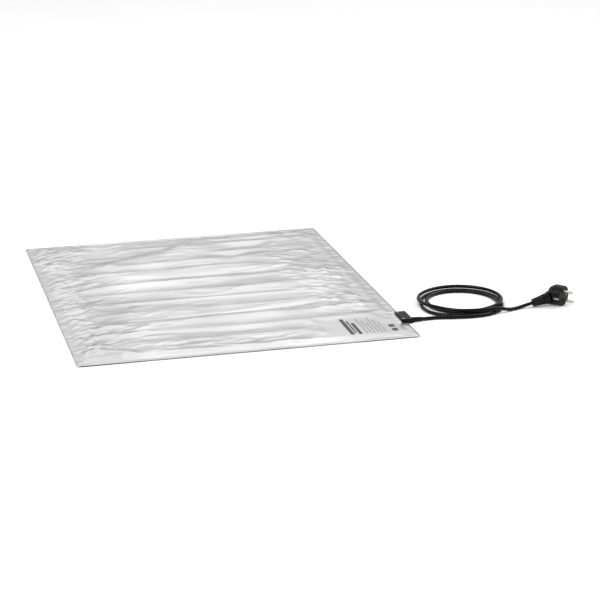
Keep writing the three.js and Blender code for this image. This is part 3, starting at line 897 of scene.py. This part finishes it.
def solidify(piece, thickness_mm):
    """Thickens a sheet downwards, so that its top stays where it is."""
    shell = piece.modifiers.new("thickness", "SOLIDIFY")
    shell.thickness = thickness_mm * MM
    shell.offset = -1.0


print("sheet helpers ready")

# %% Top film
grid = film_grid(cell_x=4.0, cell_y=2.45)
notch_for_block(grid)
raise_film(grid, film_height)
top_film = to_piece("top_film_sheet", grid, film_material, ["top_film"])
solidify(top_film, FILM_THICKNESS)
print("top film faces:", len(top_film.data.polygons))

# %% Bottom film
LIFT_IN_BLOCK = 1.6


def bottom_height(x, y):
    """Flat on the bench, and lifted where the block clamps it."""
    lift = ease(278, 288, x) * ease(-306, -299, y) * (1.0 - ease(-246, -240, y))
    return FILM_THICKNESS + LIFT_IN_BLOCK * lift


grid = film_grid(cell_x=8.0, cell_y=8.0)
notch_for_block(grid)
raise_film(grid, bottom_height)
bottom_film = to_piece("bottom_film_sheet", grid, film_material, ["bottom_film"])
solidify(bottom_film, FILM_THICKNESS)
print("bottom film faces:", len(bottom_film.data.polygons))

# %% [markdown]
# ## The printed field
#
# The flat corner carries a screen print. Here it is only plain bars: one broad
# block where a title would be, thin rules where lines would be, and two short
# marks. A mask in the film's material could draw them, but a layer of ink with
# its own finish is closer to the real thing, so each bar is a small grid that
# lies on the film and follows it.

# %% Printed bars
# Bar: x from, x to, y from, y to.
HEAVY_BARS = [
    (185.0, 192.0, -338.0, -250.0), (194.5, 197.5, -330.0, -262.0), (200.0, 206.0, -338.0, -276.0),
    (262.0, 272.0, -336.0, -322.0), (262.0, 272.0, -314.0, -300.0),
]
RULE_PITCH, RULE_WIDTH = 6.8, 1.6
THIN_RULES = [
    (214.0 + RULE_PITCH * i, 214.0 + RULE_WIDTH + RULE_PITCH * i, -338.0, -252.0 - 14.0 * (i % 3))
    for i in range(6)
]
INK_LIFT = 0.14


def print_bars(name, bars, ink):
    """Lays bars of ink on the film, in cells of 2 by 3 mm so that they follow it."""
    made = bmesh.new()
    for x0, x1, y0, y1 in bars:
        centre = Matrix.Translation(((x0 + x1) / 2, (y0 + y1) / 2, 0.0))
        size = Matrix.Diagonal(((x1 - x0) / 2, (y1 - y0) / 2, 1.0, 1.0))
        columns, rows = max(1, round((x1 - x0) / 2)), max(2, round((y1 - y0) / 3))
        bmesh.ops.create_grid(
            made, x_segments=columns, y_segments=rows, size=1.0, matrix=centre @ size)
    raise_film(made, film_height, INK_LIFT)
    piece = to_piece(name, made, ink)
    solidify(piece, 0.1)
    return piece


print_bars("print_bars", HEAVY_BARS, ink_material)
print_bars("print_rules", THIN_RULES, faint_ink_material)
print("printed bars:", len(HEAVY_BARS), "and rules:", len(THIN_RULES))

# %% [markdown]
# ## The junction block
#
# Two moulded shells close over the edge of the films. Each starts as a box that
# is bevelled, and its open side is inset and pushed in to leave the chamber in
# which the wires are joined. The cover also has a shallow panel on its top and
# two wells, in which the heads of the rivets sit. A well is round and the cover
# is not, so it is subtracted: a boolean is cleaner here than cutting faces.

# %% Scratch objects


def bmesh_of(piece):
    """The finished mesh of a piece, modifiers included, as a new bmesh."""
    graph = bpy.context.evaluated_depsgraph_get()
    made = bmesh.new()
    made.from_mesh(piece.evaluated_get(graph).to_mesh())
    return made


def scratch_object(name, made):
    """A short-lived object that only exists to carry a modifier."""
    mesh = bpy.data.meshes.new(name)
    made.to_mesh(mesh)
    made.free()
    piece = bpy.data.objects.new(name, mesh)
    bpy.context.collection.objects.link(piece)
    return piece


print("scratch objects ready")

# %% Rods and cuts


def cutter_rod(radius, low, high, x=0.0, y=0.0, sides=40):
    """A solid rod along +Z, in millimetres."""
    made = bmesh.new()
    place = Matrix.Translation((x * MM, y * MM, (low + high) / 2 * MM))
    bmesh.ops.create_cone(
        made, cap_ends=True, segments=sides, radius1=radius * MM, radius2=radius * MM,
        depth=(high - low) * MM, matrix=place,
    )
    return made


def cut_away(made, cutters):
    """Subtracts each cutter bmesh from a bmesh and gives the result back."""
    for solid in (made, *cutters):
        bmesh.ops.recalc_face_normals(solid, faces=solid.faces)
    body = scratch_object("being_cut", made)
    tools = [scratch_object("cutter", cutter) for cutter in cutters]
    for tool in tools:
        step = body.modifiers.new("cut", "BOOLEAN")
        step.operation = "DIFFERENCE"
        step.solver = "MANIFOLD"
        step.object = tool
    bpy.context.view_layer.update()
    result = bmesh_of(body)
    for scratch in [body, *tools]:
        bpy.data.objects.remove(scratch)
    return result


print("a rod that cuts has 40 sides, so its well looks round")

# %% Crisp edges


def keep_sharp(piece, degrees=35.0):
    """Smooth shading that keeps real edges crisp."""
    limit = math.cos(math.radians(degrees))
    mesh = piece.data
    shell = bmesh.new()
    shell.from_mesh(mesh)
    for edge in shell.edges:
        if len(edge.link_faces) == 2:
            first, second = edge.link_faces
            edge.smooth = first.normal.dot(second.normal) > limit
    shell.to_mesh(mesh)
    shell.free()


print("edges that turn by more than 35 degrees stay crisp")

# %% Shell of the block
BLOCK_WALL = 2.0
BLOCK_FLOOR = 1.1


def block_shell(node, opens_up, bevel):
    """A bevelled box that is hollow towards the seam."""
    low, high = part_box(node)
    made = bmesh.new()
    bmesh.ops.create_cube(made, size=1.0)
    bmesh.ops.scale(made, vec=high - low, verts=made.verts)
    bmesh.ops.translate(made, vec=(low + high) / 2, verts=made.verts)
    seam_z = high.z if opens_up else low.z
    outer = [e for e in made.edges if not all(abs(v.co.z - seam_z) < 1e-6 for v in e.verts)]
    bmesh.ops.bevel(
        made, geom=outer, offset=bevel * MM, offset_type="OFFSET", affect="EDGES",
        segments=4, profile=0.5, material=-1, clamp_overlap=True,
    )
    seam = [f for f in made.faces if all(abs(v.co.z - seam_z) < 1e-6 for v in f.verts)]
    bmesh.ops.inset_region(made, faces=seam, thickness=BLOCK_WALL * MM)
    depth = (high.z - low.z) - BLOCK_FLOOR * MM
    step = -depth if opens_up else depth
    pushed = list({vertex for face in seam for vertex in face.verts})
    bmesh.ops.translate(made, vec=(0, 0, step), verts=pushed)
    return made


def sunk_panel(made, top_z, border, depth):
    """Insets the top face and sinks it by depth, with a sloped step."""
    top = [f for f in made.faces if all(abs(v.co.z - top_z) < 1e-6 for v in f.verts)]
    bmesh.ops.inset_region(made, faces=top, thickness=border * MM)
    bmesh.ops.inset_region(made, faces=top, thickness=0.35 * MM, depth=-depth * MM)


print("shell helpers ready")

# %% Cover and base of the block
cover_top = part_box("junction_cover")[1].z
cover = block_shell("junction_cover", opens_up=False, bevel=1.2)
sunk_panel(cover, cover_top, border=1.0, depth=0.3)
wells = []
for rivet_node in ("junction_rivet_front", "junction_rivet_back"):
    rivet_low, rivet_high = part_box(rivet_node)
    middle = (rivet_low + rivet_high) / 2 / MM
    well_radius = (rivet_high.x - rivet_low.x) / 2 / MM + 0.25
    wells.append(cutter_rod(well_radius, -1.0, 12.0, x=middle.x, y=middle.y))
junction_cover = to_piece(
    "junction_cover_shell", cut_away(cover, wells), abs_material,
    ["junction_cover"])
keep_sharp(junction_cover, 40.0)

base = block_shell("junction_base", opens_up=True, bevel=0.6)
junction_base = to_piece(
    "junction_base_shell", base, abs_material, ["junction_base"])
keep_sharp(junction_base, 40.0)
print("rivet wells:", len(wells), "with a radius of", round(well_radius, 2), "mm")

# %% [markdown]
# ## Strain relief at the block
#
# The sleeve keeps the cord from bending sharply at the block. It could be a
# cone, but a real one has a thick collar, a thin mouth and rounded lips, so its
# profile is spun about the axis. It is then turned on to the cord's line.

# %% Strain relief at the block


def spun(profile, steps):
    """Turns (radius, height) points, in millimetres, about +Z into a bmesh."""
    made = bmesh.new()
    rim = [made.verts.new((radius * MM, 0.0, height * MM)) for radius, height in profile]
    edges = [made.edges.new(pair) for pair in zip(rim, rim[1:])]
    bmesh.ops.spin(
        made, geom=rim + edges, axis=(0, 0, 1), cent=(0, 0, 0), dvec=(0, 0, 0),
        angle=math.tau, steps=steps, use_merge=True,
    )
    bmesh.ops.remove_doubles(made, verts=made.verts, dist=1e-6)
    bmesh.ops.recalc_face_normals(made, faces=made.faces)
    return made


def on_line(made, start, end):
    """Turns a piece made along +Z so that it runs from start to end."""
    axis = (end - start).normalized()
    turn = axis.to_track_quat("Z", "Y").to_matrix().to_4x4()
    bmesh.ops.transform(made, matrix=Matrix.Translation(start) @ turn, verts=made.verts)


# The sleeve sits on the lead's first centimetres, just clear of the block.
relief_start = Vector((310.4, *LEAD_ROUTE[1][1:])) * MM
relief_end = Vector(LEAD_ROUTE[3]) * MM
relief_length = (relief_end - relief_start).length / MM
RELIEF_PROFILE = [
    (3.5, 0.0), (4.3, 0.0), (4.5, 0.4), (4.4, 4.0), (4.2, 11.0), (4.05, relief_length - 0.6),
    (3.8, relief_length), (3.4, relief_length), (3.5, 0.0),
]
sleeve = spun(RELIEF_PROFILE, steps=40)
on_line(sleeve, relief_start, relief_end)
to_piece(
    "junction_relief_sleeve", sleeve, flex_material, ["junction_strain_relief"])
print("sleeve length:", round(relief_length, 1), "mm")

# %% [markdown]
# ## The plug's own frame
#
# The plug lies turned and rolled on the bench, which would make every profile
# awkward to write. The two pins of the model say how it lies: their lines
# give the way the plug points, and the step from one to the other gives its up.
# Everything on the plug is then modelled upright, with its face at zero, and
# carried over by one matrix.

# %% Plug frame


def node_points(name):
    """The corner points of one piece of the model, in metres."""
    return np.array([v.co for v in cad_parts[name].data.vertices], float)


def long_axis(points):
    """Middle and longest direction of a slim piece."""
    corners = np.unique(np.round(points, 6), axis=0)
    middle = (corners.max(0) + corners.min(0)) / 2
    direction = np.linalg.svd(corners - corners.mean(0))[2][0]
    return middle, direction


PIN_LENGTH = 19.0
live, pins_out = long_axis(node_points("live_pin"))
neutral, _ = long_axis(node_points("neutral_pin"))
body_low, body_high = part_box("plug_body")
body_middle = np.array((body_low + body_high) / 2)
if np.dot(pins_out, (live + neutral) / 2 - body_middle) < 0:
    pins_out = -pins_out
tip = max(node_points("live_pin") @ pins_out)
plug_up = (live - neutral) / np.linalg.norm(live - neutral)
plug_side = np.cross(pins_out, plug_up)
between = (live + neutral) / 2
face_centre = between + pins_out * (tip - PIN_LENGTH * MM - between @ pins_out)
PLUG_PLACE = Matrix((
    (plug_up[0], plug_side[0], pins_out[0], face_centre[0]),
    (plug_up[1], plug_side[1], pins_out[1], face_centre[1]),
    (plug_up[2], plug_side[2], pins_out[2], face_centre[2]),
    (0.0, 0.0, 0.0, 1.0),
))


def plug_piece(name, made, material, replaced):
    """Carries a piece from the plug's frame to its place and finishes it."""
    bmesh.ops.transform(made, matrix=PLUG_PLACE, verts=made.verts)
    return to_piece(name, made, material, replaced)


print("plug face at", np.round(face_centre, 4))

# %% [markdown]
# ## The plug's body and handle
#
# The body is a round cup and the handle leans out of its back at 56 degrees, in
# one moulding. Both are modelled roughly and overlap. A voxel remesh melts them
# into one skin and a little smoothing rounds the join, as a mould does. The
# recess for the face and the grooves for the earth clips are cut after that,
# so that their edges stay crisp.

# %% Rounded sections
HANDLE_ANGLE = math.radians(56.0)
HANDLE_ROOT = -12.0
SECTION_SIDES = 28
SQUARENESS = 3.2


def rounded_section(made, wide, tall, centre):
    """A ring of vertices shaped like a rounded rectangle, across +Z."""
    ring = []
    for i in range(SECTION_SIDES):
        turn = math.tau * i / SECTION_SIDES
        c, s = math.cos(turn), math.sin(turn)
        x = tall / 2 * math.copysign(abs(c) ** (2 / SQUARENESS), c)
        y = wide / 2 * math.copysign(abs(s) ** (2 / SQUARENESS), s)
        ring.append(made.verts.new((x * MM, y * MM, centre * MM)))
    edges = [made.edges.new((a, b)) for a, b in zip(ring, ring[1:] + ring[:1])]
    return ring, edges


def lofted(sections):
    """Bridges rounded sections, each (place, wide, tall), into a closed piece."""
    made = bmesh.new()
    rings = [rounded_section(made, wide, tall, at) for at, wide, tall in sections]
    for (_, first), (_, second) in zip(rings, rings[1:]):
        bmesh.ops.bridge_loops(made, edges=first + second)
    made.faces.new(rings[0][0])
    made.faces.new(rings[-1][0])
    bmesh.ops.recalc_face_normals(made, faces=made.faces)
    return made


def lean_back(made):
    """Turns a piece made along +Z on to the handle's line."""
    turn = Matrix.Rotation(math.pi + HANDLE_ANGLE, 4, "X")
    place = Matrix.Translation((0.0, 0.0, HANDLE_ROOT * MM)) @ turn
    bmesh.ops.transform(made, matrix=place, verts=made.verts)


print("handle leans", round(math.degrees(HANDLE_ANGLE)), "degrees")

# %% Melting shells together


def melt(made, voxel_mm, rounds):
    """Remeshes overlapping shells into one skin and rounds its inner corners."""
    body = scratch_object("being_melted", made)
    step = body.modifiers.new("melt", "REMESH")
    step.mode = "VOXEL"
    step.voxel_size = voxel_mm * MM
    bpy.context.view_layer.update()
    result = bmesh_of(body)
    bpy.data.objects.remove(body)
    for _ in range(rounds):
        bmesh.ops.smooth_vert(
            result, verts=result.verts, factor=0.5,
            use_axis_x=True, use_axis_y=True, use_axis_z=True,
        )
    return result


print("melting helper ready")

# %% Plug body
PLUG_RADIUS = 18.5
PLUG_DEPTH = 28.0
FLAT = PLUG_RADIUS - 1.6
PIN_OFFSET = 9.5
EARTH_OFFSET = -9.5
CLIP_MIDDLE = -9.5


def cutter_box(size, centre):
    """A solid box, in millimetres."""
    made = bmesh.new()
    bmesh.ops.create_cube(made, size=1.0)
    bmesh.ops.scale(made, vec=Vector(size) * MM, verts=made.verts)
    bmesh.ops.translate(made, vec=Vector(centre) * MM, verts=made.verts)
    return made


def plug_body():
    """Cup and handle melted into one, then cut for the face and the clips."""
    rim = PLUG_RADIUS
    body = spun([
        (0.0, -PLUG_DEPTH), (rim - 7.5, -PLUG_DEPTH), (rim - 4.5, -PLUG_DEPTH + 1.5),
        (rim - 1.2, -PLUG_DEPTH + 7.5), (rim, -PLUG_DEPTH + 10.0), (rim, -6.2),
        (rim - 0.5, -5.7), (rim - 0.5, -5.1), (rim, -4.6), (rim, -1.0), (rim - 0.3, -0.3),
        (rim - 1.0, 0.0), (0.0, 0.0),
    ], steps=72)
    handle = lofted([
        (0.0, 14.0, 24.0), (10.0, 17.5, 25.0), (17.0, 18.0, 24.6), (19.5, 17.4, 23.6),
        (22.0, 16.0, 21.0), (25.0, 15.2, 19.8), (31.0, 14.2, 18.6),
    ])
    lean_back(handle)
    mesh = bpy.data.meshes.new("handle")
    handle.to_mesh(mesh)
    handle.free()
    body.from_mesh(mesh)
    skin = melt(body, voxel_mm=0.55, rounds=3)
    face_seat = cutter_rod(15.2, -2.5, 1.0, sides=64)
    earth_bore = cutter_rod(3.7, -18.0, 1.0, y=EARTH_OFFSET)
    flats = [cutter_box((60.0, 4.0, 20.0), (0.0, y, CLIP_MIDDLE)) for y in (FLAT + 2, -FLAT - 2)]
    groove = CLIP_MIDDLE + 0.1
    grooves = [cutter_box((6.6, 5.0, 20.4), (0.0, y, groove)) for y in (FLAT + 0.3, -FLAT - 0.3)]
    return cut_away(skin, [face_seat, earth_bore, *flats, *grooves])


body_piece = plug_piece(
    "plug_body_moulding", plug_body(), plug_material, ["plug_body"])
keep_sharp(body_piece, 50.0)
print("plug body faces:", len(body_piece.data.polygons))

# %% [markdown]
# ## The plug's grip
#
# Between the handle and the cord sits a soft grip with cross ribs, so that the
# cord bends slowly when the plug is pulled. It is lofted through four rounded
# sections for each rib, and each rib is a little smaller than the last.

# %% Plug strain relief
RIBS = 5
RIB_PITCH = 4.1
GRIP_START = 31.3


def ribbed_relief():
    """A tapering grip with cross ribs between the handle and the cord."""
    sections = []
    for i in range(RIBS):
        at = GRIP_START + RIB_PITCH * i
        wide = 14.0 - 0.4 * i
        tall = 18.0 - 0.9 * i
        sections += [
            (at, wide - 0.9, tall - 1.2), (at + 0.7, wide, tall),
            (at + 2.5, wide, tall - 0.3), (at + 3.2, wide - 1.2, tall - 1.6),
        ]
    sections += [(51.5, 11.6, 13.2), (52.0, 10.4, 12.0)]
    made = lofted(sections)
    lean_back(made)
    return made


relief_piece = plug_piece(
    "plug_relief_grip", ribbed_relief(), plug_material, ["plug_strain_relief"])
keep_sharp(relief_piece, 45.0)
print("relief faces:", len(relief_piece.data.polygons))

# %% [markdown]
# ## Face, pins and earth contacts
#
# The face is a disc set into the rim of the body. The pins are turned with
# a rounded nose. The earth socket is a nickel tube whose lip shows as a bright
# ring, and each earth clip is a bent spring strip in its groove. All but the
# clips are round, so they are spun from their profiles.

# %% Plug face


def plug_face():
    """The insulating disc with holes for both pins and the earth socket."""
    disc = spun([
        (0.0, -2.2), (14.8, -2.2), (14.8, -0.5), (14.5, -0.1), (13.6, 0.0), (0.0, 0.0),
    ], steps=64)
    holes = [cutter_rod(2.62, -4.0, 1.0, x=side * PIN_OFFSET) for side in (-1, 1)]
    holes.append(cutter_rod(3.55, -4.0, 1.0, y=EARTH_OFFSET))
    return cut_away(disc, holes)


face_piece = plug_piece(
    "plug_face_disc", plug_face(), face_material, ["plug_face"])
keep_sharp(face_piece, 30.0)
print("plug face faces:", len(face_piece.data.polygons))

# %% Pins and earth socket
PIN_PROFILE = [
    (0.0, -15.5), (2.4, -15.5), (2.4, 16.6), (2.25, 17.4), (1.85, 18.2), (1.2, 18.75),
    (0.5, PIN_LENGTH), (0.0, PIN_LENGTH),
]
for pin_name, side in (("live_pin", 1), ("neutral_pin", -1)):
    pin = spun(PIN_PROFILE, steps=32)
    bmesh.ops.translate(pin, vec=(side * PIN_OFFSET * MM, 0, 0), verts=pin.verts)
    piece = plug_piece(pin_name + "_turned", pin, nickel_material, [pin_name])
    keep_sharp(piece, 50.0)

socket = spun([
    (2.55, -17.0), (3.4, -17.0), (3.4, 0.1), (3.2, 0.45), (2.8, 0.45), (2.55, 0.1), (2.55, -17.0),
], steps=40)
bmesh.ops.translate(socket, vec=(0, EARTH_OFFSET * MM, 0), verts=socket.verts)
socket_piece = plug_piece(
    "earth_socket_tube", socket, nickel_material, ["earth_socket"])
keep_sharp(socket_piece, 50.0)
print("pins stand", PIN_LENGTH, "mm proud")

# %% Earth clips
CLIP_HALF_WIDTH = 2.1
CLIP_BOW = 0.75


def clip_strip(side):
    """A sprung strip: pressed flat at its root and bowed out in the middle."""
    made = bmesh.new()
    bmesh.ops.create_grid(made, x_segments=6, y_segments=22, size=1.0)
    for vertex in made.verts:
        along = (vertex.co.y + 1.0) / 2.0
        rise = CLIP_BOW * math.sin(math.pi * along) ** 2
        vertex.co = Vector((
            vertex.co.x * CLIP_HALF_WIDTH, side * (FLAT - 1.0 + rise - 0.12 * vertex.co.x ** 2),
            -19.0 + 18.0 * along,
        )) * MM
    bmesh.ops.solidify(made, geom=made.faces, thickness=0.6 * MM)
    return made


for clip_name, side in (("earth_clip_near", 1), ("earth_clip_far", -1)):
    strip = clip_strip(side)
    plug_piece(clip_name + "_strip", strip, nickel_material, [clip_name])
print("earth clips bow out by", CLIP_BOW, "mm")

# %% [markdown]
# ## The cord and what is on it
#
# A cord is more than its tube: whoever lays it out again needs its length, how
# stiff it is and which pieces travel with it.

# %% [markdown]
# ## Floor
#
# The mat stands on a white paper sweep, which has no corner between floor and
# wall. A very large matt sheet does the same here, because the camera never
# sees its end.

# %% Floor
SWEEP_HALF_SIZE = 14.0


def studio_floor():
    """A white sheet that is not part of the mat."""
    made = bmesh.new()
    bmesh.ops.create_grid(made, x_segments=1, y_segments=1, size=SWEEP_HALF_SIZE)
    mesh = bpy.data.meshes.new("floor")
    made.to_mesh(mesh)
    made.free()
    material, _, shader, _ = new_material("matt_white_paper")
    shader.inputs["Base Color"].default_value = linear("FDFDFD")
    shader.inputs["Roughness"].default_value = 0.95
    shader.inputs["Specular IOR Level"].default_value = 0.1
    mesh.materials.append(material)
    floor = bpy.data.objects.new("floor", mesh)
    bpy.context.collection.objects.link(floor)


studio_floor()
print("floor is", 2.0 * SWEEP_HALF_SIZE, "m across")

# %% [markdown]
# ## Light
#
# Metal film shows its folds only if there is something uneven to reflect. A
# plain white room would make it a blank sheet, so the room is grey low down and
# bright at the height that the film mirrors towards the camera, and a little
# darker overhead. Two softboxes burn the floor out to white and draw the
# highlights on the black pieces.

# %% Softboxes
LAMP_AIM = Vector((0.2, 0.0, 0.0))


def softbox(name, place, size, power):
    """A square area lamp that faces the mat."""
    light = bpy.data.lights.new(name, "AREA")
    light.shape = "RECTANGLE"
    light.size = size
    light.size_y = size
    light.energy = power
    lamp = bpy.data.objects.new(name, light)
    lamp.location = place
    towards_mat = LAMP_AIM - Vector(place)
    lamp.rotation_euler = towards_mat.to_track_quat("-Z", "Y").to_euler()
    bpy.context.collection.objects.link(lamp)


softbox("softbox_front_left", (-1.7, -1.5, 2.3), size=1.6, power=48.0)
softbox("softbox_back_right", (1.9, 1.1, 2.2), size=1.2, power=26.0)
print("two softboxes set up")

# %% The room


def studio_world(low_grey, high_grey):
    """A grey room that brightens with height and darkens behind the camera."""
    world = bpy.data.worlds.new("studio")
    bpy.context.scene.world = world
    world.use_nodes = True
    tree = world.node_tree
    tree.nodes.clear()
    direction = add_node(tree, "ShaderNodeTexCoord").outputs["Generated"]
    axes = add_node(tree, "ShaderNodeSeparateXYZ", {"Vector": direction}).outputs
    grey = add_node(tree, "ShaderNodeMapRange", {
        "Value": axes["Z"], "From Min": 0.0, "From Max": 0.62,
        "To Min": low_grey, "To Max": high_grey,
    }, interpolation_type="SMOOTHSTEP").outputs["Result"]
    behind = add_node(tree, "ShaderNodeMapRange", {
        "Value": axes["Y"], "From Min": -1.0, "From Max": 0.9, "To Min": 0.7, "To Max": 1.0,
    }).outputs["Result"]
    overhead = add_node(tree, "ShaderNodeMapRange", {
        "Value": axes["Z"], "From Min": 0.7, "From Max": 1.0, "To Min": 1.0, "To Max": 0.72,
    }).outputs["Result"]
    walls = add_node(tree, "ShaderNodeMath", {0: grey, 1: behind}, operation="MULTIPLY")
    room = add_node(tree, "ShaderNodeMath", {
        0: walls.outputs["Value"], 1: overhead,
    }, operation="MULTIPLY")
    background = add_node(tree, "ShaderNodeBackground", {
        "Color": room.outputs["Value"], "Strength": 1.0,
    })
    add_node(tree, "ShaderNodeOutputWorld", {"Surface": background.outputs["Background"]})


studio_world(low_grey=0.30, high_grey=1.24)
bpy.context.scene.view_settings.view_transform = "Standard"
print("room ready")

# %% [markdown]
# ## The last update
#
# The view layer is brought up to date once more.

# %% The last update
bpy.context.view_layer.update()
